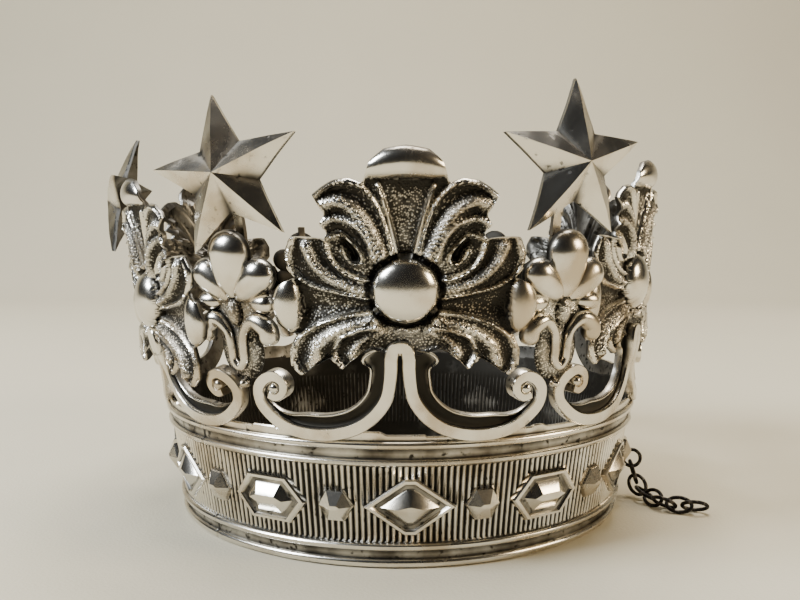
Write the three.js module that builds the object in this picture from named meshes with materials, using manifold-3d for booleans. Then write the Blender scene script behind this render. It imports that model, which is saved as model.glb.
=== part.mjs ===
import * as THREE from "three";
import { mergeVertices } from "three/addons/utils/BufferGeometryUtils.js";
import Module from "manifold-3d";

const wasm = await Module();
wasm.setup();

// Band: a conical sheet ring, millimetres, standing on z = 0.
const BAND_FOOT_R = 48.0;
const BAND_FLARE = 0.15;
const BAND_HEIGHT = 25.2;
const BAND_SHEET = 0.9;
const BAND_SIDES = 48;
const FILLET_PROUD = 0.9;
const FILLETS = [
  { low: 0, high: 1.7 },
  { low: 3.2, high: 4.7 },
  { low: 19.0, high: 20.4 },
  { low: 22.0, high: 23.6 },
];

// Embossed jewels round the band, one every 15 degrees.
const JEWEL_Z = 11.6;
const JEWEL_OFFSET = 2.0;
const JEWEL_STEP = 15;
const LOZENGE = { halfLength: 7.8, halfHeight: 5.2, clip: 0.12, ridge: 0.3, rim: 1.0, top: 2.1 };
const HEXAGON = { halfLength: 7.2, halfHeight: 4.3, clip: 0.55, ridge: 0.45, rim: 1.0, top: 2.0 };
const STUD = { halfLength: 3.0, halfHeight: 2.9, clip: 0.5, ridge: 0.35, rim: 0.9, top: 2.3 };
const JEWEL_ORDER = [LOZENGE, STUD, HEXAGON, STUD];

// Cresting: stampings wrapped round a leaning cone that starts on top of the band.
const SEAT_Z = 25.5;
const SEAT_R = 51.4;
const WRAP_R = 53.5;
const SHEET = 0.9;

const UNITS = [
  { name: "front", at: 0, lean: 6.5 },
  { name: "front_right", at: 60, lean: 3.0 },
  { name: "back_right", at: 120, lean: 7.0 },
  { name: "back", at: 180, lean: 6.5 },
  { name: "back_left", at: -120, lean: 11.5 },
  { name: "front_left", at: -60, lean: 12.5 },
];

// Rosette lobes: direction of the tip from straight up, spread before and after it, reach, roundness, height.
const BOSS_Y = 24.3;
const BOSS_R = 5.3;
const BOSS_RISE = 3.3;
const ROSETTE_LOBES = [
  { at: 0, before: 21, after: 21, reach: 22.8, round: 8, proud: 3.4, shoulders: [0.8] },
  { at: 39, before: 18, after: 6, reach: 21.4, round: 2.6, proud: 1.3, shoulders: [-0.55] },
  { at: 50, before: 6, after: 6, reach: 17.0, round: 1.6, proud: 1.2, shoulders: [] },
  { at: 64, before: 9, after: 20, reach: 19.9, round: 2.2, proud: 1.5, shoulders: [0.4] },
  { at: 96, before: 15, after: 15, reach: 19.6, round: 8, proud: 3.0, shoulders: [-0.8, 0.8] },
  { at: 126, before: 16, after: 6, reach: 20.2, round: 1.6, proud: 1.3, shoulders: [] },
  { at: 141, before: 11, after: 6, reach: 15.4, round: 1.6, proud: 1.2, shoulders: [] },
];
const ROSETTE_INNER = 11.0;
const ROSETTE_MID = 0.66;
const ROSETTE_DISH = 0.9;

// C-scroll under each rosette: centre line of its flat bar from the peak to the curled end.
const SCROLL_LINE = [
  [1.3, 14.6],
  [2.0, 12.0],
  [3.2, 8.0],
  [6.2, 3.4],
  [13.6, 1.2],
  [20.6, 2.6],
  [24.6, 6.4],
  [24.4, 9.4],
  [22.6, 10.4],
  [21.2, 9.2],
];
const SCROLL_STEPS = 15;
const SCROLL_BAR = 1.15;
const SCROLL_PROUD = 1.6;
const SCROLL_WEB = 1.9;
const SCROLL_BEAK = 1.9;
const SCROLL_BACK = -0.2;
const JOIN_DETAIL = 0.02;

// Palmettes between the rosettes.
const PALMETTE_Y = 20.6;
const PALMETTE_INNER = 5.6;
const PALMETTE_LOBES = [
  { at: 0, before: 30, after: 30, reach: 12.2, round: 5, proud: 2.8, shoulders: [0.65] },
  { at: 54, before: 25, after: 25, reach: 9.6, round: 5, proud: 2.6, shoulders: [-0.6, 0.6] },
  { at: 96, before: 18, after: 18, reach: 7.6, round: 4, proud: 2.4, shoulders: [] },
  { at: 140, before: 24, after: 24, reach: 9.2, round: 4, proud: 2.6, shoulders: [-0.5, 0.5] },
];
const PALMETTE_FOOT = { at: 180, before: 13, after: 13, reach: 11.8, round: 2.5 };
const PALMETTE_MID = 0.5;
const PALMETTE_DISH = 1.9;

const PALMETTES = [
  { name: "right_front", at: 30, lean: 7.5 },
  { name: "right", at: 90, lean: 3.0, bareStem: 38.0 },
  { name: "back_right", at: 150, lean: 4.0 },
  { name: "back_left", at: -150, lean: 10.0, bareStem: 36.0 },
  { name: "left", at: -90, lean: 13.5 },
  { name: "left_front", at: -30, lean: 9.0 },
];

// Stars: hollow five-point pyramids in front of their stems.
const STAR_OUT = 14.3;
const STAR_IN = 6.3;
const STAR_APEX = 5.2;
const STAR_SHEET = 0.8;
const STAR_POINTS = 5;
const STARS = [
  { on: "right_front", y: 45.8, spin: -1, tilt: 7.5, turn: -6, shift: 1.4, seat: -0.8 },
  { on: "left", y: 42.0, spin: 4, tilt: 19.5, turn: 0, shift: 0, seat: 0.5 },
  { on: "left_front", y: 43.6, spin: 12.5, tilt: 12.9, turn: 13.3, shift: -0.8, seat: -0.8 },
];

const STEM_WIDTH = 1.7;
const STEM_SHEET = 0.8;
const STEM_FOOT = 22.0;
const GAP = 0.3;

// Chain: oval wire links from a staple on the band down to the ground.
const STAPLE_AT = 83;
const STAPLE_Z = 8.6;
const STAPLE_R = 1.9;
const LINK_LENGTH = 5.9;
const LINK_WIDTH = 4.2;
const LINK_WIRE = 0.8;
const LINK_PITCH = 3.15;
const LINK_COUNT = 7;
const LINK_STEPS = 10;
const WIRE_SIDES = 4;
const CHAIN_LINE = [
  [52.73, -6.75, 5.5],
  [52.9, -7.3, 3.9],
  [53.8, -9.9, 2.2],
  [54.8, -13.5, 1.9],
  [56.8, -17.0, 1.7],
  [60.4, -18.9, 1.7],
  [64.6, -19.4, 1.7],
  [70.0, -19.3, 1.7],
];

const rad = THREE.MathUtils.degToRad;

// A point of a flat stamping, x across, y up and h outwards, bent onto the leaning cone at its bay's front.
function onCrown(place, x, y, h) {
  const lean = rad(place.lean);
  const radius = SEAT_R + y * Math.sin(lean) + h * Math.cos(lean);
  const angle = x / WRAP_R;
  const z = SEAT_Z + y * Math.cos(lean) - h * Math.sin(lean);
  return new THREE.Vector3(radius * Math.sin(angle), -radius * Math.cos(angle), z);
}

// A point of the band's outer surface at an angle and height, raised by h.
function onBand(angle, z, h) {
  const radius = BAND_FOOT_R + BAND_FLARE * z + h;
  return new THREE.Vector3(radius * Math.sin(angle), -radius * Math.cos(angle), z);
}

function faceted(points, triangles) {
  const geometry = new THREE.BufferGeometry().setFromPoints(points);
  geometry.setIndex(triangles);
  return geometry;
}

// Triangles between two rings of points that start at the indices a and b.
function strip(a, b, count, triangles) {
  for (let i = 0; i < count; i += 1) {
    const j = (i + 1) % count;
    triangles.push(a + i, a + j, b + i, b + i, a + j, b + j);
  }
}

function fan(pole, ring, count, triangles) {
  for (let i = 0; i < count; i += 1) {
    triangles.push(pole, ring + i, ring + ((i + 1) % count));
  }
}

// A closed sheet between a front pole and a back pole, with rings of points from front to back.
function sheetSolid(frontPole, rings, backPole) {
  const count = rings[0].length;
  const points = [frontPole, ...rings.flat(), backPole];
  const triangles = [];
  fan(0, 1, count, triangles);
  for (let k = 0; k + 1 < rings.length; k += 1) {
    strip(1 + (k + 1) * count, 1 + k * count, count, triangles);
  }
  const last = 1 + (rings.length - 1) * count;
  for (let i = 0; i < count; i += 1) {
    triangles.push(points.length - 1, last + ((i + 1) % count), last + i);
  }
  return faceted(points, triangles);
}

// A closed body from sections carried along a line, each section a ring of points.
function sweptSolid(sections) {
  const count = sections[0].length;
  const points = sections.flat();
  const triangles = [];
  for (let k = 0; k + 1 < sections.length; k += 1) {
    strip(k * count, (k + 1) * count, count, triangles);
  }
  const last = (sections.length - 1) * count;
  for (let i = 1; i + 1 < count; i += 1) {
    triangles.push(0, i + 1, i, last, last + i, last + i + 1);
  }
  return faceted(points, triangles);
}

// A closed loop of sections.
function loopSolid(sections) {
  const count = sections[0].length;
  const points = sections.flat();
  const triangles = [];
  for (let k = 0; k < sections.length; k += 1) {
    strip(k * count, ((k + 1) % sections.length) * count, count, triangles);
  }
  return faceted(points, triangles);
}

function toManifold(geometry) {
  const bare = geometry.clone();
  bare.deleteAttribute("normal");
  bare.deleteAttribute("uv");
  const merged = mergeVertices(bare, 1e-4);
  const made = new wasm.Manifold(
    new wasm.Mesh({
      numProp: 3,
      vertProperties: new Float32Array(merged.attributes.position.array),
      triVerts: new Uint32Array(merged.index.array),
    }),
  );
  return made;
}

function joined(geometries) {
  const mesh = wasm.Manifold.union(geometries.map(toManifold)).simplify(JOIN_DETAIL).getMesh();
  const geometry = new THREE.BufferGeometry();
  geometry.setAttribute("position", new THREE.BufferAttribute(mesh.vertProperties, 3));
  geometry.setIndex(new THREE.BufferAttribute(mesh.triVerts, 1));
  return geometry;
}

// Reach of an outline made of lobes, in a direction measured from straight up.
function outlineReach(lobes, inner, degrees) {
  const side = Math.abs(THREE.MathUtils.euclideanModulo(degrees + 180, 360) - 180);
  let reach = inner;
  for (const lobe of lobes) {
    const t = Math.abs(side - lobe.at) / (side < lobe.at ? lobe.before : lobe.after);
    if (t < 1) {
      reach = Math.max(reach, inner + (lobe.reach - inner) * (1 - t ** lobe.round));
    }
  }
  return reach;
}

// Directions and heights where the outline is sampled: each lobe's tip, shoulders and the notch before it.
function outlineSamples(lobes) {
  const half = [];
  for (let k = 0; k < lobes.length; k += 1) {
    const lobe = lobes[k];
    if (k > 0) {
      const before = lobes[k - 1];
      const share = before.after / (before.after + lobe.before);
      half.push({ at: before.at + (lobe.at - before.at) * share, proud: 0.9 });
    }
    half.push({ at: lobe.at, proud: lobe.proud });
    for (const t of lobe.shoulders) {
      half.push({ at: lobe.at + t * (t < 0 ? lobe.before : lobe.after), proud: lobe.proud });
    }
  }
  const right = half.filter((s) => s.at >= 0).sort((a, b) => a.at - b.at);
  const left = right
    .filter((s) => s.at > 0)
    .map((s) => ({ at: -s.at, proud: s.proud }))
    .reverse();
  return { right, left };
}

// A stamped leaf plate: a pole, a ring at the inner form, a dished middle ring and the outline.
function stamping(place, y0, samples, reachAt, core, mid, dish, hollow) {
  const at = (s, r, h) => onCrown(place, r * Math.sin(rad(s.at)), y0 + r * Math.cos(rad(s.at)), h);
  const ring = (share, h) => samples.map((s) => at(s, share(s), h(s)));
  const middle = (s) => core.radius + (reachAt(s) - core.radius) * mid;
  const rings = [
    ring(() => core.radius, () => core.edge),
    ring(middle, () => dish),
    ring(reachAt, (s) => s.proud),
    ring(reachAt, (s) => s.proud - SHEET),
  ];
  if (hollow) {
    rings.push(ring(middle, () => dish - SHEET));
  }
  rings.forEach((points) => points.reverse());
  const front = onCrown(place, 0, y0, core.rise);
  const back = onCrown(place, 0, y0, core.back);
  return sheetSolid(front, rings, back);
}

function rosettePlate(place) {
  const { right, left } = outlineSamples(ROSETTE_LOBES);
  const foot = { at: 180, proud: 0.8 };
  const samples = [...right, foot, ...left];
  const reachAt = (s) => outlineReach(ROSETTE_LOBES, ROSETTE_INNER, s.at);
  const core = { radius: BOSS_R, rise: BOSS_RISE, edge: 1.2, back: BOSS_RISE - SHEET };
  return stamping(place, BOSS_Y, samples, reachAt, core, ROSETTE_MID, ROSETTE_DISH, true);
}

function palmettePlate(place) {
  const { right, left } = outlineSamples(PALMETTE_LOBES);
  const waist = [166, 173].map((at) => ({ at, proud: 1.2 }));
  const foot = { at: 180, proud: 1.8 };
  const mirrored = waist.map((s) => ({ at: -s.at, proud: s.proud })).reverse();
  const samples = [...right, ...waist, foot, ...mirrored, ...left];
  const lobes = [...PALMETTE_LOBES, PALMETTE_FOOT];
  const reachAt = (s) => outlineReach(lobes, PALMETTE_INNER, s.at);
  const core = { radius: 2.2, rise: 1.8, edge: 1.6, back: 0.1 };
  return stamping(place, PALMETTE_Y, samples, reachAt, core, PALMETTE_MID, PALMETTE_DISH, false);
}

// One C-scroll: a flat bar with a thinner web along its inner edge, widest in a beak beside the peak.
function scrollBar(place, side) {
  const line = new THREE.CatmullRomCurve3(SCROLL_LINE.map(([x, y]) => new THREE.Vector3(x, y, 0)));
  const sections = [];
  for (let k = 0; k <= SCROLL_STEPS; k += 1) {
    const s = k / SCROLL_STEPS;
    const p = line.getPointAt(s);
    const t = line.getTangentAt(s);
    const inward = new THREE.Vector2(-t.y, t.x);
    const grow = Math.min(1, s / 0.08) * Math.min(1, (1 - s) / 0.3);
    const beak = SCROLL_BEAK * Math.exp(-(((s - 0.1) / 0.06) ** 2));
    const web = 0.15 + SCROLL_WEB * grow + beak;
    const at = (out, h) => onCrown(place, side * (p.x + inward.x * out), p.y + inward.y * out, h);
    const ring = [
      at(-SCROLL_BAR, SCROLL_BACK),
      at(-SCROLL_BAR, SCROLL_PROUD),
      at(SCROLL_BAR, SCROLL_PROUD),
      at(SCROLL_BAR + web, 0.8),
      at(SCROLL_BAR + web, SCROLL_BACK),
    ];
    sections.push(side > 0 ? ring.reverse() : ring);
  }
  return sweptSolid(sections);
}

// A six-sided jewel with a rim and sloping facets up to a small flat top, sunk into the band's wall.
function jewel(shape, degrees) {
  const angle = rad(degrees);
  const corner = (k) => {
    const side = k < 3 ? 1 : -1;
    const rise = 1 - (k % 3);
    const flat = rise === 0;
    return { flat, side, rise };
  };
  const outline = (share, h) => {
    const ring = [];
    for (let k = 0; k < 6; k += 1) {
      const c = corner(k);
      const pull = c.flat ? 1 : shape.clip;
      const x = c.side * shape.halfLength * share * pull;
      const z = c.rise * c.side * shape.halfHeight * share;
      ring.push(onBand(angle + x / BAND_FOOT_R, JEWEL_Z + z, h));
    }
    return ring;
  };
  const rings = [
    outline(shape.ridge, shape.top),
    outline(0.94, shape.rim),
    outline(1, -0.5),
  ].map((points) => points.reverse());
  return sheetSolid(onBand(angle, JEWEL_Z, shape.top), rings, onBand(angle, JEWEL_Z, -0.5));
}

function bandRing() {
  const outer = [];
  for (const fillet of FILLETS) {
    const wall = (z) => BAND_FOOT_R + BAND_FLARE * z;
    const middle = (fillet.low + fillet.high) / 2;
    const foot = fillet.low === 0 ? FILLET_PROUD * 0.7 : 0;
    outer.push(new THREE.Vector2(wall(fillet.low) + foot, fillet.low));
    outer.push(new THREE.Vector2(wall(middle) + FILLET_PROUD, middle));
    outer.push(new THREE.Vector2(wall(fillet.high), fillet.high));
  }
  const top = BAND_FOOT_R + BAND_FLARE * BAND_HEIGHT;
  outer.push(new THREE.Vector2(top - 0.1, BAND_HEIGHT));
  const inner = [
    new THREE.Vector2(top - BAND_SHEET, BAND_HEIGHT),
    new THREE.Vector2(BAND_FOOT_R - BAND_SHEET, 0),
  ];
  const profile = [...outer, ...inner, outer[0].clone()];
  return new THREE.LatheGeometry(profile, BAND_SIDES).rotateX(Math.PI / 2);
}

function band() {
  const jewels = [];
  for (let k = 0; k * JEWEL_STEP < 360; k += 1) {
    jewels.push(jewel(JEWEL_ORDER[k % JEWEL_ORDER.length], JEWEL_OFFSET + k * JEWEL_STEP));
  }
  return joined([bandRing(), ...jewels]);
}

// A star set square to its stem, spun in its own plane and tipped back towards the crown's axis.
function star(place, spec) {
  const seat = onCrown(place, spec.shift, spec.y, spec.seat);
  const turn = new THREE.Matrix4()
    .makeTranslation(seat)
    .multiply(new THREE.Matrix4().makeRotationZ(rad(spec.turn)))
    .multiply(new THREE.Matrix4().makeRotationX(rad(place.lean - spec.tilt)));
  const point = (k, h) => {
    const r = k % 2 === 0 ? STAR_OUT : STAR_IN;
    const a = rad(-spec.spin) + (k * Math.PI) / STAR_POINTS;
    return new THREE.Vector3(r * Math.sin(a), -h, r * Math.cos(a)).applyMatrix4(turn);
  };
  const ring = (h) => [...Array(2 * STAR_POINTS).keys()].map((k) => point(k, h)).reverse();
  const pole = (h) => new THREE.Vector3(0, -h, 0).applyMatrix4(turn);
  return sheetSolid(pole(STAR_APEX), [ring(STAR_SHEET), ring(0)], pole(STAR_APEX - 1.2));
}

// A flat strip behind a palmette, through points of height and distance out.
function stem(place, line) {
  const half = STEM_WIDTH / 2;
  const section = ([y, h]) => [
    onCrown(place, -half, y, h),
    onCrown(place, half, y, h),
    onCrown(place, half, y, h - STEM_SHEET),
    onCrown(place, -half, y, h - STEM_SHEET),
  ];
  return sweptSolid(line.map(section));
}

// The stem of a star turns out into the star's hollow, and a bare one ends straight.
function stemLine(place, spec) {
  if (!spec) {
    return [
      [STEM_FOOT, -GAP],
      [place.bareStem, -GAP],
    ];
  }
  return [
    [STEM_FOOT, -GAP],
    [spec.y - STAR_IN - 1, spec.seat - 2 * GAP],
    [spec.y - 1, spec.seat + 1.0],
  ];
}

// A closed wire loop: an oval centre line in the plane of two directions, with a round section.
function wireLoop(centre, along, across, halfLength, halfWidth, wire) {
  const normal = new THREE.Vector3().crossVectors(along, across).normalize();
  const sections = [];
  for (let k = 0; k < LINK_STEPS; k += 1) {
    const a = (2 * Math.PI * k) / LINK_STEPS;
    const out = along.clone().multiplyScalar(Math.cos(a)).addScaledVector(across, Math.sin(a));
    const middle = centre
      .clone()
      .addScaledVector(along, halfLength * Math.cos(a))
      .addScaledVector(across, halfWidth * Math.sin(a));
    const ring = [];
    for (let j = 0; j < WIRE_SIDES; j += 1) {
      const b = (2 * Math.PI * j) / WIRE_SIDES;
      const p = middle.clone().addScaledVector(out, (wire / 2) * Math.cos(b));
      ring.push(p.addScaledVector(normal, (-wire / 2) * Math.sin(b)));
    }
    sections.push(ring);
  }
  return loopSolid(sections);
}

function staple() {
  const angle = rad(STAPLE_AT);
  const out = new THREE.Vector3(Math.sin(angle), -Math.cos(angle), 0);
  const proud = FILLET_PROUD + GAP + STAPLE_R + LINK_WIRE / 2;
  const centre = onBand(angle, STAPLE_Z, proud);
  const up = new THREE.Vector3(0, 0, 1);
  return wireLoop(centre, out, up, STAPLE_R, STAPLE_R, LINK_WIRE);
}

function chainLinks() {
  const line = new THREE.CatmullRomCurve3(CHAIN_LINE.map((p) => new THREE.Vector3(...p)));
  const length = line.getLength();
  const links = [];
  for (let k = 0; k < LINK_COUNT; k += 1) {
    const s = (k * LINK_PITCH) / length;
    const along = line.getTangentAt(s);
    const lying = THREE.MathUtils.clamp((k - 1) / 3, 0, 1);
    const level = new THREE.Vector3(-along.y, along.x, 0).normalize();
    const side = new THREE.Vector3(Math.cos(rad(STAPLE_AT)), Math.sin(rad(STAPLE_AT)), 0).lerp(level, lying);
    const across = side.addScaledVector(along, -side.dot(along)).normalize();
    across.applyAxisAngle(along, rad((k % 2) * 90 - 45 * lying));
    const half = [LINK_LENGTH / 2 - LINK_WIRE / 2, LINK_WIDTH / 2 - LINK_WIRE / 2];
    links.push(wireLoop(line.getPointAt(s), along, across, half[0], half[1], LINK_WIRE));
  }
  return links;
}

const silver = new THREE.MeshStandardMaterial({ color: 0xc4beb0, metalness: 1, roughness: 0.28 });
const blackened = new THREE.MeshStandardMaterial({ color: 0x24221f, metalness: 0.8, roughness: 0.5 });

const group = new THREE.Group();

function add(parent, name, geometry, material) {
  const mesh = new THREE.Mesh(geometry, material);
  mesh.name = name;
  parent.add(mesh);
}

// A group turned so that its front faces a place round the crown.
function bay(place) {
  const turned = new THREE.Group();
  turned.rotation.z = rad(place.at);
  group.add(turned);
  return turned;
}

add(group, "band", band(), silver);
for (const unit of UNITS) {
  const stamped = joined([rosettePlate(unit), scrollBar(unit, 1), scrollBar(unit, -1)]);
  add(bay(unit), `rosette_${unit.name}`, stamped, silver);
}
for (const place of PALMETTES) {
  const spec = STARS.find((found) => found.on === place.name);
  const parent = bay(place);
  add(parent, `palmette_${place.name}`, palmettePlate(place), silver);
  if (spec) {
    add(parent, `star_${place.name}`, star(place, spec), silver);
  }
  if (spec || place.bareStem) {
    add(parent, `star_stem_${place.name}`, stem(place, stemLine(place, spec)), silver);
  }
}
add(group, "chain_staple", staple(), blackened);
chainLinks().forEach((geometry, k) => add(group, `chain_link_${k + 1}`, geometry, blackened));

export default group;
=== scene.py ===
"""A statue's crown of antiqued silver, built as fine surfaces in the frame of its solids."""

import logging
import math
from dataclasses import dataclass
from enum import Enum

import bpy
import numpy as np
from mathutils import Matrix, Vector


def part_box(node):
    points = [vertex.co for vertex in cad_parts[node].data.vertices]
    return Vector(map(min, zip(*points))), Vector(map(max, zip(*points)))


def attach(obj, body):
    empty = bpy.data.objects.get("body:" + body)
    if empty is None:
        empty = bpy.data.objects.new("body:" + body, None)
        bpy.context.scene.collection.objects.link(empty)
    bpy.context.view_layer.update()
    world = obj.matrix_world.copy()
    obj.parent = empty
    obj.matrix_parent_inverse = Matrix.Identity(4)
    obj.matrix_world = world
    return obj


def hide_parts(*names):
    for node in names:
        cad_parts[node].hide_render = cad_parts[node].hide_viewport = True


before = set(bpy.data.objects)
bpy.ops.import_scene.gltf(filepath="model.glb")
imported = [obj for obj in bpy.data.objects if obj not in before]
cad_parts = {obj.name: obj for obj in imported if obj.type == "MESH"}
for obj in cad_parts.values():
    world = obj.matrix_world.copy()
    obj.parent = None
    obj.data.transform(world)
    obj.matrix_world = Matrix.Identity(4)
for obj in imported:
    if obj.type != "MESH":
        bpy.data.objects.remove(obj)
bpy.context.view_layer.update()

Array = np.ndarray
MM = 0.001
LOG = logging.getLogger("crown")

SEAT_Z = 25.5
SEAT_R = 51.4
WRAP_R = 53.5
BAND_FOOT_R = 48.0
BAND_FLARE = 0.15
BAND_HEIGHT = 25.2
SHEET = 0.9
PEARL_PITCH = 0.55
PATH_STEPS = 22
FINE_RIDGE = 0.6
STEM_FOOT = (22.0, -0.3)
BARE_STEM_TARNISH = 0.6


class Slot(Enum):
    """The record's two finishes."""

    SILVER = "silver"
    CHAIN = "blackened_chain"


@dataclass(frozen=True)
class Place:
    """Where a stamping stands: degrees round the crown from the front, and its outward lean."""

    name: str
    at: float
    lean: float

    def point(self, x: Array, y: Array, h: Array) -> Array:
        """Bend flat points on to the crown.

        A point x across, y up and h out goes to the radius seat + y sin(lean) + h cos(lean), at the
        place's angle plus x over the wrap radius, and to the height seat + y cos(lean) - h sin(lean).

        Args:
            x: Distance across, in millimetres.
            y: Height above the seat.
            h: Distance out from the seat's surface.

        Returns:
            Points with a last axis of three, in millimetres.
        """
        lean = math.radians(self.lean)
        radius = SEAT_R + y * math.sin(lean) + h * math.cos(lean)
        angle = math.radians(self.at) + x / WRAP_R
        z = SEAT_Z + y * math.cos(lean) - h * math.sin(lean)
        return np.stack([radius * np.sin(angle), -radius * np.cos(angle), z + 0.0 * x], axis=-1)


@dataclass
class Shell:
    """A closed surface: points in millimetres, faces, and two masks for its finish."""

    points: Array
    quads: Array
    tris: Array
    cavity: Array
    stipple: Array

    def outward(self) -> "Shell":
        """Turn every face round where the enclosed volume comes out negative."""
        p = self.points
        t = np.concatenate([self.tris, self.quads[:, [0, 1, 2]], self.quads[:, [0, 2, 3]]])
        volume = np.einsum("ij,ij->i", p[t[:, 0]], np.cross(p[t[:, 1]], p[t[:, 2]])).sum()
        if volume < 0:
            self.quads = self.quads[:, ::-1]
            self.tris = self.tris[:, ::-1]
        return self


def ring_quads(index: Array) -> Array:
    """Quads between the rows of a grid of indices whose columns close on themselves."""
    after = np.roll(index, -1, axis=1)
    return np.stack([index[:-1], after[:-1], after[1:], index[1:]], axis=-1).reshape(-1, 4)


def fan(pole: int, ring: Array) -> Array:
    """Triangles from a pole to a closed ring of indices."""
    return np.stack([np.full(len(ring), pole), ring, np.roll(ring, -1)], axis=-1)


def filled(value: Array | float, shape: tuple[int, ...]) -> Array:
    """A mask of a shape from one number or from an array."""
    return np.broadcast_to(np.asarray(value, float), shape).reshape(-1)


def capped(grid: Array, cavity: Array | float = 0.0, stipple: Array | float = 0.0) -> Shell:
    """Close a grid of rings with a fan at each end.

    Args:
        grid: Rows of closed rings, (rows, columns, 3).
        cavity: How deep and tarnished each point is, and how much painted shade it carries, from 0 to 1.
        stipple: How strongly each point is punched, from 0 to 1.

    Returns:
        The closed shell, facing outward.
    """
    rows, columns = grid.shape[:2]
    index = np.arange(rows * columns).reshape(rows, columns)
    last = rows * columns
    ends = np.stack([grid[0].mean(axis=0), grid[-1].mean(axis=0)])
    cave = filled(cavity, (rows, columns))
    punched = filled(stipple, (rows, columns))
    return Shell(
        np.concatenate([grid.reshape(-1, 3), ends]),
        ring_quads(index),
        np.concatenate([fan(last, index[0]), fan(last + 1, index[-1])[:, ::-1]])[:, ::-1],
        np.concatenate([cave, [cave[:columns].mean(), cave[-columns:].mean()]]),
        np.concatenate([punched, [punched[:columns].mean(), punched[-columns:].mean()]]),
    ).outward()


def looped(grid: Array, cavity: Array | float = 0.0, stipple: Array | float = 0.0) -> Shell:
    """Close a grid on itself both ways, as on a ring.

    Args:
        grid: Points, (rows, columns, 3).
        cavity: How deep and tarnished each point is, and how much painted shade it carries.
        stipple: How strongly each point is punched.

    Returns:
        The closed shell, facing outward.
    """
    rows, columns = grid.shape[:2]
    index = np.arange(rows * columns).reshape(rows, columns)
    return Shell(
        grid.reshape(-1, 3),
        ring_quads(np.concatenate([index, index[:1]])),
        np.zeros((0, 3), int),
        filled(cavity, (rows, columns)),
        filled(stipple, (rows, columns)),
    ).outward()


def smooth_path(knots: Array, count: int) -> Array:
    """A curve through knots, at even steps of chord length.

    Each span is a cubic whose slopes are the finite differences of the knots against chord length.

    Args:
        knots: Points, (n, 2) or (n, 3).
        count: How many points to give.

    Returns:
        Points along the curve, (count, 2) or (count, 3).
    """
    knots = np.asarray(knots, float)
    at = np.concatenate([[0.0], np.cumsum(np.linalg.norm(np.diff(knots, axis=0), axis=1))])
    slope = np.gradient(knots, at, axis=0)
    t = np.linspace(0.0, at[-1], count)
    k = np.clip(np.searchsorted(at, t, side="right") - 1, 0, len(at) - 2)
    span = (at[k + 1] - at[k])[:, None]
    u = ((t - at[k]) / (at[k + 1] - at[k]))[:, None]
    return (
        knots[k] * (2 * u**3 - 3 * u**2 + 1)
        + slope[k] * span * (u**3 - 2 * u**2 + u)
        + knots[k + 1] * (3 * u**2 - 2 * u**3)
        + slope[k + 1] * span * (u**3 - u**2)
    )


def nearest(x: Array, y: Array, path: Array) -> tuple[Array, Array]:
    """Distance from each point to a path, and how far along it the nearest place is.

    Args:
        x: Points' distances across.
        y: Points' heights.
        path: The path's points, (n, 2).

    Returns:
        The distances and the lengths along the path.
    """
    best = np.full(x.shape, 1e9)
    along = np.zeros(x.shape)
    run = 0.0
    for (ax, ay), (bx, by) in zip(path[:-1], path[1:]):
        length = math.hypot(bx - ax, by - ay)
        t = np.clip(((x - ax) * (bx - ax) + (y - ay) * (by - ay)) / length**2, 0, 1)
        d = np.hypot(x - ax - t * (bx - ax), y - ay - t * (by - ay))
        along = np.where(d < best, run + t * length, along)
        best = np.minimum(best, d)
        run += length
    return best, along


def step(value: Array, low: float, high: float) -> Array:
    """A smooth rise from 0 at low to 1 at high."""
    t = np.clip((value - low) / (high - low), 0, 1)
    return t * t * (3 - 2 * t)


def wobble(a: Array, b: Array, seed: float) -> Array:
    """Slow unevenness between -1 and 1: three sine waves over two parameters."""
    return (
        np.sin(1.0 * a + 0.7 * b + seed)
        + np.sin(-0.6 * a + 1.3 * b + 2.1 * seed)
        + np.sin(1.7 * a - 0.9 * b + 3.7 * seed)
    ) / 3


def hollowness(height: Array, reach: int) -> Array:
    """How far each point of a closed grid of heights lies below the average round it."""
    mean = height.copy()
    for _ in range(2):
        rows = np.pad(mean, ((reach, reach), (0, 0)), mode="edge")
        mean = sum(rows[k : k + len(height)] for k in range(2 * reach + 1)) / (2 * reach + 1)
        mean = sum(np.roll(mean, k, axis=1) for k in range(-reach, reach + 1)) / (2 * reach + 1)
    return mean - height


class Value:
    """A shader socket that can be used in sums."""

    def __init__(self, graph: "Graph", socket: bpy.types.NodeSocket) -> None:
        """Keep the graph and the socket."""
        self.graph = graph
        self.socket = socket

    def _with(self, operation: str, a: object, b: object) -> "Value":
        """One Math node on two values."""
        made = self.graph.node("ShaderNodeMath", {"operation": operation}, {0: a, 1: b})
        return Value(self.graph, made.outputs[0])

    def __add__(self, other: object) -> "Value":
        """Sum."""
        return self._with("ADD", self, other)

    __radd__ = __add__

    def __mul__(self, other: object) -> "Value":
        """Product."""
        return self._with("MULTIPLY", self, other)

    __rmul__ = __mul__

    def __sub__(self, other: object) -> "Value":
        """Difference."""
        return self._with("SUBTRACT", self, other)

    def __rsub__(self, other: object) -> "Value":
        """Difference the other way round."""
        return self._with("SUBTRACT", other, self)

    def ramp(self, low: float, high: float) -> "Value":
        """A smooth rise from 0 at low to 1 at high."""
        made = self.graph.node(
            "ShaderNodeMapRange",
            {"interpolation_type": "SMOOTHSTEP"},
            {"Value": self, "From Min": low, "From Max": high},
        )
        return Value(self.graph, made.outputs[0])


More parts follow.
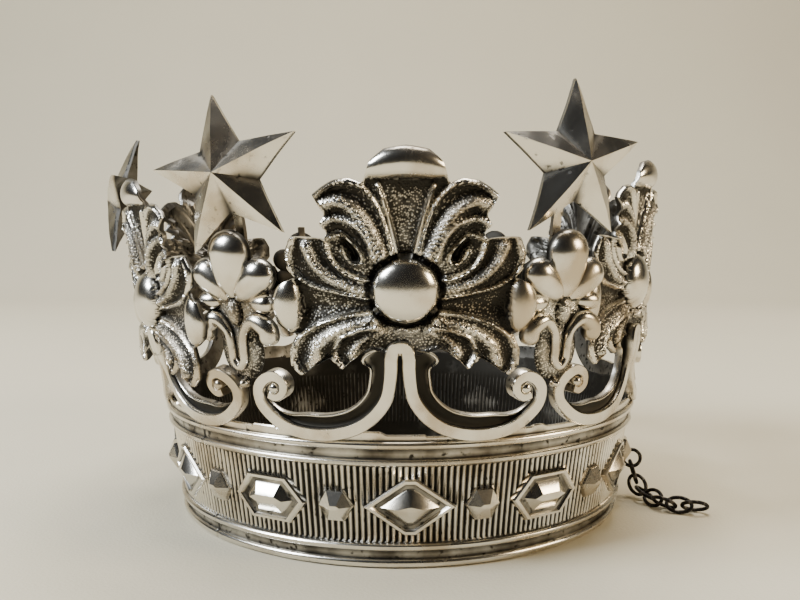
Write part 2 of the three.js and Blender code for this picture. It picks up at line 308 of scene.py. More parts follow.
class Graph:
    """The node tree of one material."""

    def __init__(self, name: str) -> None:
        """Make a material with an empty tree."""
        self.material = bpy.data.materials.new(name)
        self.material.use_nodes = True
        self.tree = self.material.node_tree
        self.tree.nodes.clear()
        self.coords = self.node("ShaderNodeTexCoord", {}, {}).outputs["Object"]

    def node(self, kind: str, settings: dict[str, object], inputs: dict) -> bpy.types.Node:
        """Add one node.

        Args:
            kind: The node's type.
            settings: Its own settings, set first.
            inputs: Values or links of its sockets, by name or number.

        Returns:
            The new node.
        """
        made = self.tree.nodes.new(kind)
        for name, setting in settings.items():
            setattr(made, name, setting)
        for key, given in inputs.items():
            given = given.socket if isinstance(given, Value) else given
            if isinstance(given, bpy.types.NodeSocket):
                self.tree.links.new(given, made.inputs[key])
            else:
                made.inputs[key].default_value = given
        return made

    def mask(self, name: str) -> Value:
        """A number kept on the piece's points."""
        return Value(self, self.node("ShaderNodeAttribute", {"attribute_name": name}, {}).outputs["Fac"])

    def noise(self, scale: float, detail: float) -> Value:
        """Cloudy noise on Object coordinates."""
        made = self.node(
            "ShaderNodeTexNoise", {}, {"Vector": self.coords, "Scale": scale, "Detail": detail}
        )
        return Value(self, made.outputs[0])

    def cells(self, scale: float) -> Value:
        """Distance to the nearest of scattered points on Object coordinates."""
        made = self.node("ShaderNodeTexVoronoi", {}, {"Vector": self.coords, "Scale": scale})
        return Value(self, made.outputs["Distance"])

    def mix(self, share: Value, first: object, second: object) -> bpy.types.NodeSocket:
        """Blend two colours."""
        made = self.node("ShaderNodeMix", {"data_type": "RGBA"}, {0: share, 6: first, 7: second})
        return made.outputs[2]

    def finish(self, constants: dict[str, object], links: dict[str, object]) -> bpy.types.Material:
        """Put a Principled shader on the output, with its constants and its links."""
        shader = self.node("ShaderNodeBsdfPrincipled", {}, {**constants, **links})
        self.node("ShaderNodeOutputMaterial", {}, {"Surface": shader.outputs[0]})
        return self.material


@dataclass(frozen=True)
class AntiquedSilver:
    """Polished silver, browned by tarnish and black in its recesses and punched grounds."""

    bright: tuple[float, float, float, float] = (0.78, 0.745, 0.67, 1.0)
    brown: tuple[float, float, float, float] = (0.46, 0.37, 0.25, 1.0)
    black: tuple[float, float, float, float] = (0.035, 0.032, 0.027, 1.0)
    punch_pitch: float = 0.42 * MM
    roughness: float = 0.2
    cloud_scale: float = 140.0
    drift_scale: float = 45.0
    speck_scale: float = 700.0
    grain_scale: float = 2200.0
    relief: float = 0.22 * MM

    def material(self) -> bpy.types.Material:
        """Build the finish.

        Depth plus cloudy noise and fine specks gives the black share; the depth mask also carries tarnish
        and painted shade on the band's inside and on the backs of the sheets; punched grounds are darker
        between bright dots; a slower noise gives the brown share; roughness rises with both.

        Returns:
            The material.
        """
        g = Graph("antiqued_silver")
        cloud = g.noise(self.cloud_scale, 4.0)
        drift = g.noise(self.drift_scale, 3.0)
        fine = g.noise(self.grain_scale, 2.0)
        punched = g.mask("stipple")
        dots = 1.0 - g.cells(1.0 / self.punch_pitch).ramp(0.12, 0.62)
        specks = g.noise(self.speck_scale, 3.0).ramp(0.58, 0.74)
        # The cavity mask is patina in recesses, plus tarnish and painted shade on the band's inside and the
        # sheets' backs.
        depth = g.mask("cavity") + (cloud - 0.5) * 0.5 + specks * 0.25
        ground = punched * (1.0 - dots) * 0.3
        dark = (depth + ground).ramp(0.24, 0.72)
        brown = (drift + (cloud - 0.5) * 0.8).ramp(0.42, 0.75)
        colour = g.mix(brown * 0.75, self.bright, self.brown)
        colour = g.mix(dark, colour, self.black)
        roughness = self.roughness + brown * 0.1 + dark * 0.3 + (fine - 0.5) * 0.06
        height = punched * dots * 0.55 + (cloud - 0.5) * 0.25 + (fine - 0.5) * 0.05
        bump = g.node(
            "ShaderNodeBump", {}, {"Strength": 0.7, "Distance": self.relief, "Height": height}
        )
        return g.finish(
            {"Metallic": 1.0},
            {"Base Color": colour, "Roughness": roughness, "Normal": bump.outputs[0]},
        )


@dataclass(frozen=True)
class BlackenedWire:
    """Near-black wire with a dull gleam and rubbed high spots."""

    dark: tuple[float, float, float, float] = (0.018, 0.016, 0.015, 1.0)
    rubbed: tuple[float, float, float, float] = (0.16, 0.14, 0.12, 1.0)
    wear_scale: float = 900.0
    relief: float = 0.08 * MM

    def material(self) -> bpy.types.Material:
        """Build the finish: noise shows where the wire is rubbed."""
        g = Graph("blackened_wire")
        worn = g.noise(self.wear_scale, 3.0)
        share = worn.ramp(0.5, 0.75)
        bump = g.node("ShaderNodeBump", {}, {"Strength": 0.4, "Distance": self.relief, "Height": worn})
        return g.finish(
            {"Metallic": 0.8},
            {
                "Base Color": g.mix(share, self.dark, self.rubbed),
                "Roughness": 0.5 - share * 0.15,
                "Normal": bump.outputs[0],
            },
        )


@dataclass(frozen=True)
class PaleCloth:
    """The pale woven cloth of the floor and backdrop."""

    light: tuple[float, float, float, float] = (0.62, 0.57, 0.44, 1.0)
    shade: tuple[float, float, float, float] = (0.58, 0.53, 0.41, 1.0)
    tone_scale: float = 9.0
    weave_scale: float = 1600.0
    relief: float = 0.4 * MM

    def material(self) -> bpy.types.Material:
        """Build the finish: soft noise between two near tones and a fine weave."""
        g = Graph("pale_cloth")
        tone = g.noise(self.tone_scale, 3.0)
        weave = g.noise(self.weave_scale, 1.0)
        bump = g.node("ShaderNodeBump", {}, {"Strength": 0.25, "Distance": self.relief, "Height": weave})
        return g.finish(
            {"Roughness": 0.95, "Specular IOR Level": 0.1},
            {"Base Color": g.mix(tone, self.light, self.shade), "Normal": bump.outputs[0]},
        )


@dataclass
class Workshop:
    """Turns shells into named pieces that ride on the root body."""

    finishes: dict[Slot, bpy.types.Material]

    def piece(self, node: str, shells: list[Shell], slot: Slot, crease: float = 40.0) -> None:
        """Make one piece that stands for a solid.

        Args:
            node: The solid's name.
            shells: The closed surfaces that make it up.
            slot: Its finish.
            crease: Edges sharper than this, in degrees, stay sharp.
        """
        starts = np.cumsum([0] + [len(s.points) for s in shells[:-1]])
        faces: list = []
        for shell, start in zip(shells, starts):
            faces += (shell.quads + start).tolist() + (shell.tris + start).tolist()
        mesh = bpy.data.meshes.new(f"{node}_fine")
        mesh.from_pydata((np.concatenate([s.points for s in shells]) * MM).tolist(), [], faces)
        for name in ("cavity", "stipple"):
            values = np.concatenate([getattr(s, name) for s in shells]).astype(np.float32)
            mesh.attributes.new(name, "FLOAT", "POINT").data.foreach_set("value", values)
        mesh.shade_smooth()
        mesh.set_sharp_from_angle(angle=math.radians(crease))
        mesh.materials.append(self.finishes[slot])
        made = bpy.data.objects.new(f"{node}_fine", mesh)
        bpy.context.scene.collection.objects.link(made)
        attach(made, "root")
        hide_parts(node)
        LOG.info("%s: %d faces", made.name, len(faces))


@dataclass(frozen=True)
class Ridge:
    """A raised line of the stamping: knots on its right half, half-width, height and pearling."""

    knots: tuple[tuple[float, float], ...]
    width: float
    height: float
    pearls: float = 0.0

    def relief(self, x: Array, y: Array) -> Array:
        """Height by distance: a bell across the line, waved along it where it is pearled."""
        distance, along = nearest(x, y, smooth_path(np.array(self.knots), PATH_STEPS))
        pearls = 1 + self.pearls * np.cos(2 * np.pi * along / PEARL_PITCH)
        return self.height * pearls * np.exp(-((distance / self.width) ** 2))


def blob(x: Array, y: Array, centre: tuple[float, float], half: tuple[float, float]) -> Array:
    """A domed swelling with steep sides: (1 - distance squared) to the power 0.42."""
    q = ((x - centre[0]) / half[0]) ** 2 + ((y - centre[1]) / half[1]) ** 2
    return np.clip(1 - q, 0, 1) ** 0.42


@dataclass
class Rosette:
    """An acanthus rosette on two C scrolls, stamped from sheet."""

    place: Place
    shift: float = 0.0
    boss_y: float = 24.3
    nod: float = 0.0
    boss_r: float = 5.5
    boss_rise: float = 3.2
    roll_rise: float = 2.6
    dish_r: float = 18.0
    back_shade_and_tarnish: float = 0.62
    curl_at: tuple[float, float] = (22.1, 7.2)
    curl_r: float = 0.95
    columns: int = 480
    rows: int = 62
    outline: tuple[tuple[float, float], ...] = (
        (0.0, 23.6), (3.3, 23.0), (5.3, 21.2), (6.2, 18.7), (6.6, 17.7), (8.6, 18.5), (10.9, 18.2),
        (12.9, 17.0), (14.1, 15.9), (12.8, 14.1), (12.5, 12.6), (13.1, 11.1), (12.3, 9.7), (12.7, 8.6),
        (15.1, 9.0), (18.2, 9.1), (19.4, 6.4), (19.1, 3.7), (17.8, 2.3), (20.7, 1.0), (22.1, -2.3),
        (21.4, -5.4), (19.4, -6.9), (18.1, -7.3), (19.3, -10.1), (19.2, -12.8), (17.5, -14.5),
        (14.6, -12.5), (12.8, -11.4), (11.9, -12.0), (10.4, -13.2), (9.2, -11.9), (7.5, -10.6),
        (5.7, -9.7), (3.5, -10.4), (0.0, -11.0),
    )
    ridges: tuple[Ridge, ...] = (
        Ridge(((1.3, 6.3), (2.3, 10.8), (4.2, 17.3)), 0.36, 0.9),
        Ridge(
            ((2.0, 6.1), (3.2, 10.7), (5.2, 15.5), (7.3, 17.5), (10.8, 17.7), (13.7, 15.9)),
            0.42, 0.9, 0.15,
        ),
        Ridge(((3.5, 5.7), (4.5, 8.0), (5.9, 10.7), (7.8, 13.2), (10.3, 14.8), (12.7, 14.4)), 1.2, 1.6, 0.1),
        Ridge(((4.9, 5.2), (5.8, 8.0), (7.0, 10.1), (8.7, 11.5), (11.0, 12.1), (12.9, 11.2)), 0.7, 1.2, 0.1),
        Ridge(
            ((12.2, 8.7), (10.5, 9.4), (8.5, 8.1), (7.0, 5.8), (7.2, 4.5), (8.4, 4.5), (9.8, 6.6)),
            0.42, 1.1,
        ),
        Ridge(((5.9, 1.7), (8.3, 2.4), (10.5, 3.7), (12.1, 5.8), (12.6, 8.4)), 0.45, 1.0, 0.15),
        Ridge(((6.3, -0.1), (8.9, 0.7), (12.1, 2.3), (14.7, 4.9), (15.7, 7.5)), 1.1, 1.5, 0.1),
        Ridge(
            ((6.0, -1.4), (10.8, -0.4), (15.5, 1.1), (18.0, 3.2), (18.8, 5.6), (17.9, 8.7)),
            0.4, 0.9, 0.15,
        ),
        Ridge(
            ((5.7, -3.5), (11.0, -4.5), (15.5, -6.3), (17.9, -8.5), (18.7, -11.0), (17.4, -13.8)),
            0.4, 0.9, 0.15,
        ),
        Ridge(((5.1, -4.8), (8.0, -5.6), (11.8, -7.1), (14.5, -9.4), (15.5, -12.2)), 1.1, 1.5, 0.1),
        Ridge(((4.5, -5.9), (8.1, -6.8), (11.0, -8.4), (11.8, -10.5), (10.5, -12.7)), 0.42, 0.95),
        Ridge(((4.1, -6.8), (6.3, -7.8), (7.9, -9.2), (8.8, -10.8)), 0.9, 1.2, 0.1),
    )
    hollows: tuple[Ridge, ...] = (
        Ridge(((0.0, 7.7), (0.0, 17.5)), 2.6, -0.9),
        Ridge(((7.6, -2.4), (16.3, -2.5)), 2.0, -0.9),
        Ridge(((9.8, 8.2), (8.8, 6.8), (8.2, 5.6)), 0.75, -1.3),
    )
    scroll: tuple[tuple[float, float], ...] = (
        (-0.1, 15.0), (0.9, 14.8), (1.4, 13.4), (1.5, 11.2), (1.7, 8.9), (2.3, 6.0), (4.1, 3.2),
        (7.3, 0.7), (11.0, -0.5), (15.8, -0.8), (20.2, 0.0), (23.5, 1.9), (25.6, 4.3), (25.7, 6.7),
        (24.1, 8.6), (21.9, 9.3), (20.3, 8.3), (20.4, 6.5), (21.8, 5.6), (23.1, 6.0),
    )

    def relief(self, x: Array, y: Array, rim: Array) -> tuple[Array, Array]:
        """Height and punching of the stamped face, measured from the boss.

        A shallow dish carries raised lines and hollows as bells round their paths; the boss and the
        three rolled lips are domes that stand over them; the cut edge is turned up a little.

        Args:
            x: Distances across.
            y: Heights above the boss.
            rim: Distances in from the cut edge.

        Returns:
            The heights and the punched mask.
        """
        side = np.abs(x)
        r = np.hypot(x, y)
        height = 0.3 + 0.9 * (r / self.dish_r) ** 2 + 0.45 * np.exp(-((rim / 0.55) ** 2))
        fine = 0.9 * np.exp(-((rim / 0.5) ** 2))
        for ridge in self.ridges:
            raised = ridge.relief(side, y)
            height = height + raised
            if ridge.width < FINE_RIDGE:
                fine = np.maximum(fine, raised)
        for hollow in self.hollows:
            height = height + hollow.relief(side, y)
        top = blob(side, y + 0.035 * side**2, (0.0, 21.2), (6.9, 2.7))
        cheek = blob(side + 0.03 * (y + 2.3) ** 2, y, (19.7, -2.3), (2.6, 4.8))
        roll = np.maximum(top, cheek)
        height = np.where(roll > 0, np.maximum(height, 0.9 + self.roll_rise * roll), height)
        boss = blob(x, y, (0.0, 0.0), (self.boss_r, self.boss_r))
        height = height - 0.9 * np.exp(-(((r - self.boss_r - 0.45) / 0.45) ** 2))
        height = np.where(boss > 0, 0.3 + self.boss_rise * boss, height)
        smooth = np.maximum.reduce([step(roll, 0, 0.3), step(boss, 0, 0.2), np.clip(fine, 0, 1)])
        return height, 1 - smooth

    def plate(self) -> Shell:
        """The stamped sheet: a polar grid whose front, cut edge and hollow back are one surface.

        Each column runs from the boss to the outline at its angle, over the edge, and back again a
        sheet's thickness behind.

        Returns:
            The closed plate.
        """
        angle = np.linspace(-np.pi, np.pi, self.columns, endpoint=False)
        corners = np.array(self.outline)
        turn = np.arctan2(corners[:, 0], corners[:, 1])
        reach = np.interp(np.abs(angle), turn, np.hypot(corners[:, 0], corners[:, 1]))
        share = np.linspace(0.012, 1.0, self.rows)[:, None]
        x = share * reach * np.sin(angle)
        y = share * reach * np.cos(angle)
        height, punched = self.relief(x, y, (1 - share) * reach)
        cavity = np.clip(0.12 + 0.8 * hollowness(height, 4) + 0.2 * punched, 0, 0.95)
        pick = np.arange(self.rows - 1, -1, -4)
        lip = height[-1:] - SHEET / 2
        grid_x = np.concatenate([x, x[-1:] * 1.006, x[pick]])
        grid_y = np.concatenate([y, y[-1:] * 1.006, y[pick]])
        grid_h = np.concatenate([height, lip, height[pick] - SHEET]) - self.nod * grid_y
        # The back rows are darkened all over: tarnish plus painted shade on the face turned into the crown.
        dull = np.full((1 + len(pick), self.columns), self.back_shade_and_tarnish)
        plain = np.zeros_like(dull)
        return capped(
            self.place.point(grid_x + self.shift, grid_y + self.boss_y, grid_h),
            np.concatenate([cavity, dull]),
            np.concatenate([punched, plain]),
        )

    def bar(self, side: int) -> Shell:
        """One C scroll: a profile carried along the scroll's line.

        The profile is a flat bar with eased edges, a dark channel inside the curve and a thin raised
        rim. The channel swells from nothing at the peak into a hooked beak, and closes towards the
        curled end, where the bar grows narrower and rises.

        Args:
            side: 1 for the right scroll, -1 for the left.

        Returns:
            The closed bar.
        """
        steps = 190
        line = smooth_path(np.array(self.scroll), steps)
        ahead = np.gradient(line, axis=0)
        ahead /= np.linalg.norm(ahead, axis=1, keepdims=True)
        inward = np.stack([-ahead[:, 1], ahead[:, 0]], axis=-1)
        s = np.linspace(0, 1, steps)
        half = 1.12 - 0.42 * step(s, 0.78, 1.0) - 0.15 * (1 - step(s, 0.0, 0.05))
        beak = 1.6 * np.exp(-(((s - 0.065) / 0.022) ** 2))
        web = 2.3 * step(s, 0.03, 0.07) * (1 - step(s, 0.5, 0.72)) + beak
        lift = 1.5 + 0.9 * step(s, 0.7, 0.95) + 0.9 * (1 - step(s, 0.06, 0.2))
        across = np.stack(
            [
                -half, -half, -half + 0.18, -0.3 * half, 0.3 * half, half - 0.18, half,
                half + 0.02, half + 0.25 * web, half + 0.6 * web, half + 0.84 * web, half + 0.9 * web,
                half + 0.98 * web, half + web + 0.12, half + web + 0.12, half + 0.5 * web,
            ],
            axis=-1,
        )
        low = np.full(steps, -0.3)
        rim = 0.35 + 0.75 * step(web, 0.0, 1.0)
        out = np.stack(
            [
                low, lift - 0.25, lift, lift + 0.03, lift + 0.03, lift, lift - 0.25,
                0.45 + 0 * s, 0.12 + 0 * s, 0.16 + 0 * s, 0.4 * rim, rim, rim + 0.05, rim - 0.15, low, low,
            ],
            axis=-1,
        )
        dark = np.array(
            [0.5, 0.25, 0.12, 0.1, 0.1, 0.12, 0.3, 0.85, 0.8, 0.75, 0.6, 0.2, 0.1, 0.3, 0.6, 0.6]
        )
        x = side * (line[:, :1] + inward[:, :1] * across)
        y = line[:, 1:] + inward[:, 1:] * across
        return capped(self.place.point(x, y, out), np.broadcast_to(dark, x.shape))

    def curl(self, side: int) -> Shell:
        """The round button in the middle of a scroll's curl: a dome on a short post."""
        a = np.linspace(0, 2 * np.pi, 24, endpoint=False)
        share = np.array([0.05, 0.5, 0.85, 1.0, 1.0])[:, None]
        h = np.array([2.7, 2.6, 2.35, 1.9, -0.2])[:, None]
        x = side * (self.curl_at[0] + self.curl_r * share * np.cos(a))
        y = self.curl_at[1] + self.curl_r * share * np.sin(a)
        return capped(self.place.point(x, y, h + 0 * a), 0.2)

    def build(self, shop: Workshop) -> None:
        """Make the piece from its plate, bars and curls."""
        shells = [self.plate()]
        for side in (1, -1):
            shells += [self.bar(side), self.curl(side)]
        shop.piece(f"rosette_{self.place.name}", shells, Slot.SILVER)


@dataclass
class Palmette:
    """A small palmette: five smooth lobes over a lyre of rolled metal, on punched grounds."""

    place: Place
    shift: float = 0.0
    heart_y: float = 22.2
    size: float = 1.1

    def bent(self, x: Array, y: Array, h: Array) -> Array:
        """Scale flat points about the heart and bend them on to the crown."""
        return self.place.point(self.shift + self.size * x, self.heart_y + self.size * y, h)

    def lobe(self, turn: float, start: float, reach: float, width: float, rise: float) -> Shell:
        """A pear-shaped lobe: an oval section carried out along a ray, fattest near its end.

        Args:
            turn: The ray's angle from straight up, in degrees.
            start: Where the lobe begins along the ray.
            reach: Where it ends.
            width: Its half-width.
            rise: How far it stands out.

        Returns:
            The closed lobe.
        """
        t = np.linspace(0.02, 0.995, 26)[:, None]
        fat = np.sqrt(np.clip(1 - ((t - 0.66) / np.where(t < 0.66, 0.72, 0.345)) ** 2, 0, 1))
        a = np.linspace(0, 2 * np.pi, 28, endpoint=False)
        across = width * fat * np.cos(a)
        h = 0.1 + rise * fat * np.sin(a) * np.where(np.sin(a) < 0, 0.35, 1.0)
        along = start + (reach - start) * t
        c, s = math.cos(math.radians(turn)), math.sin(math.radians(turn))
        x = along * s + across * c
        y = along * c - across * s
        cavity = 0.75 * (1 - step(np.sin(a) * fat, 0.05, 0.5)) + 0.08
        return capped(self.bent(x, y, h), cavity)

    def lyre(self) -> Shell:
        """The rolled lyre: a round rod along its line, fat at its two shoulders and thin in the U."""
        right = [
            (0.0, -10.6), (0.95, -9.7), (1.15, -7.6), (1.75, -4.6),
            (3.9, -2.9), (6.0, -4.0), (6.3, -6.8),
        ]
        knots = [(-x, y) for x, y in right[:0:-1]] + right
        steps = 150
        line = smooth_path(np.array(knots), steps)
        ahead = np.gradient(line, axis=0)
        ahead /= np.linalg.norm(ahead, axis=1, keepdims=True)
        away = np.abs(np.linspace(-1, 1, steps))
        rod = 0.72 + 0.85 * step(away, 0.4, 0.8)
        rod = (rod * np.sqrt(np.clip(1 - ((away - 0.9) / 0.101) ** 2 * (away > 0.9), 0.02, 1)))[:, None]
        a = np.linspace(0, 2 * np.pi, 20, endpoint=False)
        x = line[:, :1] - ahead[:, 1:] * rod * np.cos(a)
        y = line[:, 1:] + ahead[:, :1] * rod * np.cos(a)
        h = 1.25 + rod * np.sin(a) * 1.15
        cavity = 0.08 + 0.7 * (1 - step(np.sin(a), -0.3, 0.5)) + 0 * rod
        return capped(self.bent(x, y, h), cavity)

    def mound(self, centre: float, half: tuple[float, float], rise: float, punched: float) -> Shell:
        """A low oval mound on the centre line: a flattened ball."""
        t = np.linspace(0.02, 0.98, 18)[:, None] * np.pi
        a = np.linspace(0, 2 * np.pi, 40, endpoint=False)
        x = half[0] * np.sin(t) * np.sin(a)
        y = centre + half[1] * np.sin(t) * np.cos(a)
        up = np.cos(t) + 0 * a
        h = np.where(up > 0, rise * up, 0.5 * up)
        deep = np.clip(0.55 - 0.4 * up, 0.1, 0.9) if punched else 0.15 + 0.6 * (up < 0.1)
        return capped(self.bent(x, y, h), deep, punched * (up > 0))

    def build(self, shop: Workshop) -> None:
        """Make the piece from its lobes, lyre, grounds and bead."""
        shells = [
            self.lobe(0, 0.6, 11.4, 3.7, 3.3),
            self.mound(-1.6, (1.5, 2.6), 2.2, 1.0),
            self.mound(-8.2, (4.3, 5.0), 1.0, 1.0),
            self.mound(-1.0, (5.4, 6.0), 0.7, 1.0),
            self.mound(-13.5, (0.85, 0.85), 1.8, 0.0),
            self.lyre(),
        ]
        for side in (1, -1):
            shells.append(self.lobe(side * 50, 0.8, 9.3, 2.8, 2.9))
            shells.append(self.lobe(side * 92, 3.0, 7.4, 1.75, 2.3))
        shop.piece(f"palmette_{self.place.name}", shells, Slot.SILVER)


@dataclass
class Star:
    """A hollow five-pointed star beaten up from sheet, on a strip behind a palmette."""

    place: Place
    y: float
    spin: float
    tilt: float
    turn: float
    shift: float
    seat: float
    out: float = 14.3
    inner: float = 6.3
    apex: float = 5.2
    edge: float = 0.8
    depth: float = 1.2
    tip_curl: float = 0.7
    crease: float = 14.0

    def build(self, shop: Workshop) -> None:
        """Make the star: straight facets from the apex to the outline, with its back a sheet behind.

        The outline runs in straight lines between tips and inner corners. Height falls in a straight
        line from the apex, tips curl back by the fourth power of the distance, and the faces are a
        little uneven.
        """
        per = 9
        k = np.arange(10 * per)
        corner = k // per
        share = (k % per) / per
        first = np.where(corner % 2 == 0, self.out, self.inner)
        second = np.where(corner % 2 == 0, self.inner, self.out)
        turn = math.radians(-self.spin)
        ax, az = first * np.sin(turn + corner * np.pi / 5), first * np.cos(turn + corner * np.pi / 5)
        bx = second * np.sin(turn + (corner + 1) * np.pi / 5)
        bz = second * np.cos(turn + (corner + 1) * np.pi / 5)
        ex, ez = ax + share * (bx - ax), az + share * (bz - az)
        front = np.linspace(0.01, 1.0, 15)[:, None]
        back = np.linspace(1.0, 0.03, 8)[:, None]
        x = np.concatenate([front * ex, back * ex])
        z = np.concatenate([front * ez, back * ez])
        face = self.edge + (self.apex - self.edge) * (1 - front) + 0 * ex
        hollow = (self.apex - self.depth) * (1 - back) + 0 * ex
        h = np.concatenate([face, hollow])
        far = np.hypot(x, z) / self.out
        h = h - self.tip_curl * far**4 + 0.1 * wobble(x * 0.7, z * 0.7, self.spin)
        lean = math.radians(self.place.lean - self.tilt)
        seat = self.place.point(np.array(self.shift), np.array(self.y), np.array(self.seat))
        out = -h * math.cos(lean) - z * math.sin(lean)
        up = -h * math.sin(lean) + z * math.cos(lean)
        at = math.radians(self.place.at + self.turn)
        across = x * math.cos(at) - out * math.sin(at)
        behind = x * math.sin(at) + out * math.cos(at)
        grid = seat + np.stack([across, behind, up], -1)
        valley = np.abs(np.where(corner % 2 == 0, share, 1 - share))
        shown = 0.1 + 0.5 * valley**4 * np.sqrt(front) + 0.12 * far[: len(front)]
        # The hollow back is darkened all over: tarnish plus painted shade on the face turned into the crown.
        cavity = np.concatenate([shown, 0.6 + 0 * back * ex])
        shop.piece(f"star_{self.place.name}", [capped(grid, cavity)], Slot.SILVER, self.crease)


@dataclass
class Stem:
    """A flat strip behind a palmette, whole under a star or left bare where the star is lost."""

    place: Place
    line: tuple[tuple[float, float], ...]
    dull: float = 0.3
    width: float = 1.7
    sheet: float = 0.8

    def build(self, shop: Workshop) -> None:
        """Make the strip: a rectangle carried up the line."""
        path = smooth_path(np.array(self.line), 30)
        a = np.linspace(0, 2 * np.pi, 16, endpoint=False)
        square = np.maximum(np.abs(np.cos(a)), np.abs(np.sin(a)))
        x = self.width / 2 * np.cos(a) / square + 0 * path[:, :1]
        h = path[:, 1:] - self.sheet / 2 + self.sheet / 2 * np.sin(a) / square
        y = path[:, :1] + 0 * x
        strip = capped(self.place.point(x, y, h), self.dull)
        shop.piece(f"star_stem_{self.place.name}", [strip], Slot.SILVER)


@dataclass(frozen=True)
class Gem:
    """A six-sided silver jewel: half-length, half-height, bluntness, and rings of share and height."""

    length: float
    height: float
    clip: float
    rings: tuple[tuple[float, float], ...]


FRAMED = (
    (1.03, -0.5), (1.0, 0.75), (0.95, 1.1), (0.85, 1.1), (0.77, 0.55), (0.66, 0.5), (0.6, 0.8),
)
PLAIN = ((1.05, -0.5), (1.0, 0.6), (0.94, 0.95))


@dataclass
class Band:
    """The ribbed band with four mouldings, a cut collar and 24 six-sided jewels."""

    ribs: int = 280
    samples: int = 4
    seam: float = -46.5
    jewel_z: float = 11.6
    jewel_start: float = 2.0
    fillets: tuple[tuple[float, float], ...] = ((0.0, 1.7), (3.2, 4.7), (19.0, 20.4), (22.0, 23.6))
    proud: float = 0.9
    jewels: int = 24
    jewel_top: float = 0.35
    field_gap: float = 0.35
    crease: float = 28.0
    inside_shade_and_tarnish: float = 0.72
    gems: tuple[Gem, ...] = (
        Gem(7.8, 5.2, 0.12, (*FRAMED, (0.26, 2.1))),
        Gem(3.0, 2.9, 0.5, (*PLAIN, (0.36, 2.3))),
        Gem(7.2, 4.3, 0.55, (*FRAMED, (0.45, 2.0))),
        Gem(3.0, 2.9, 0.5, (*PLAIN, (0.36, 2.3))),
    )

    def wall(self) -> Shell:
        """The wall: a profile of mouldings carried round, with ribs as waves in the field.

        Height out from the flared wall is a half round on each moulding, a wave of the angle in the
        field, and a sheet's thickness inside. The collar's top edge is cut unevenly.

        Returns:
            The closed wall.
        """
        a = np.linspace(-np.pi / 2, np.pi / 2, 9)
        rows: list[tuple[float, float, float, float]] = []
        for k, (low, high) in enumerate(self.fillets):
            middle, half = (low + high) / 2, (high - low) / 2
            for t in a:
                bulge = math.cos(t)
                rows.append((middle + half * math.sin(t), self.proud * bulge, 0.0, 0.6 - 0.55 * bulge))
            if k == 1:
                field = np.linspace(high + self.field_gap, self.fillets[2][0] - self.field_gap, 14)
                rows += [(z, 0.0, 1.0, 0.3) for z in field]
            elif k < 3:
                rows += [((high + self.fillets[k + 1][0]) / 2, 0.05, 0.0, 0.5)]
        rows += [(23.9, 0.0, 0.0, 0.4), (24.5, 0.0, 0.0, 0.2), (25.0, 0.0, 0.0, 0.12)]
        rows += [(BAND_HEIGHT, -0.2, 0.0, 0.1)]
        # The inside rows are darkened all over: tarnish plus painted shade inside the ring.
        inside = [BAND_HEIGHT, 24.9, 23.6, 20.6, 19.0, 18.4, 15.0, 11.6, 8.0, 5.2, 4.6, 2.0, 0.3, 0.0]
        rows += [
            (z, -0.7 if z in (BAND_HEIGHT, 0.0) else -0.9, -0.5 * (5 < z < 19), self.inside_shade_and_tarnish)
            for z in inside
        ]
        table = np.array(rows)
        theta = np.linspace(-np.pi, np.pi, self.ribs * self.samples, endpoint=False)
        wave = np.cos(self.ribs * theta)
        cut = 0.55 * step(wobble(9 * theta, 4 * np.sin(3 * theta), 0.4), 0.1, 0.35)
        cut += 0.3 * step(wobble(23 * theta, 5 * np.cos(2 * theta), 1.9), 0.2, 0.3)
        z = table[:, :1] - cut * (table[:, :1] > 24.4)
        h = table[:, 1:2] + 0.26 * table[:, 2:3] * (wave - 0.6)
        seam = np.exp(-(((theta - math.radians(self.seam)) * 50 / 0.22) ** 2))
        h = h - 0.5 * seam * (table[:, 1:2] > 0.1)
        dent = 0.12 * wobble(3 * theta, 2 * np.sin(5 * theta), 2.3)
        radius = BAND_FOOT_R + BAND_FLARE * z + h + dent
        grid = np.stack([radius * np.sin(theta), -radius * np.cos(theta), z + 0 * theta], -1)
        cavity = table[:, 3:] + 0.5 * np.abs(table[:, 2:3]) * (0.45 - wave) + 0.6 * seam
        return looped(grid, np.clip(cavity, 0, 1))

    def jewel(self, gem: Gem, degrees: float) -> Shell:
        """One jewel: six-cornered rings at rising heights, with flat facets between them.

        Args:
            gem: Its sizes.
            degrees: Its place round the band.

        Returns:
            The closed jewel.
        """
        corner_x = np.array([gem.clip, 1.0, gem.clip, -gem.clip, -1.0, -gem.clip]) * gem.length
        corner_z = np.array([1.0, 0.0, -1.0, -1.0, 0.0, 1.0]) * gem.height
        rings = np.array(gem.rings)
        share = rings[:, :1]
        flat = np.where(np.arange(len(rings)) == len(rings) - 1, self.jewel_top, 1.0)[:, None]
        z = self.jewel_z + corner_z * share * flat
        angle = math.radians(degrees) + corner_x * share / BAND_FOOT_R
        radius = BAND_FOOT_R + BAND_FLARE * z + rings[:, 1:]
        grid = np.stack([radius * np.sin(angle), -radius * np.cos(angle), z], -1)
        groove = (rings[:, 1:] > 0) & (rings[:, 1:] < 0.6) & (share < 0.9)
        cavity = 0.08 + 0.5 * groove + 0.5 * (rings[:, 1:] < 0)
        return capped(grid, np.broadcast_to(cavity, z.shape))

    def build(self, shop: Workshop) -> None:
        """Make the piece from its wall and its jewels."""
        shells = [self.wall()]
        for k in range(self.jewels):
            degrees = self.jewel_start + 360 / self.jewels * k
            shells.append(self.jewel(self.gems[k % len(self.gems)], degrees))
        shop.piece("band", shells, Slot.SILVER, self.crease)


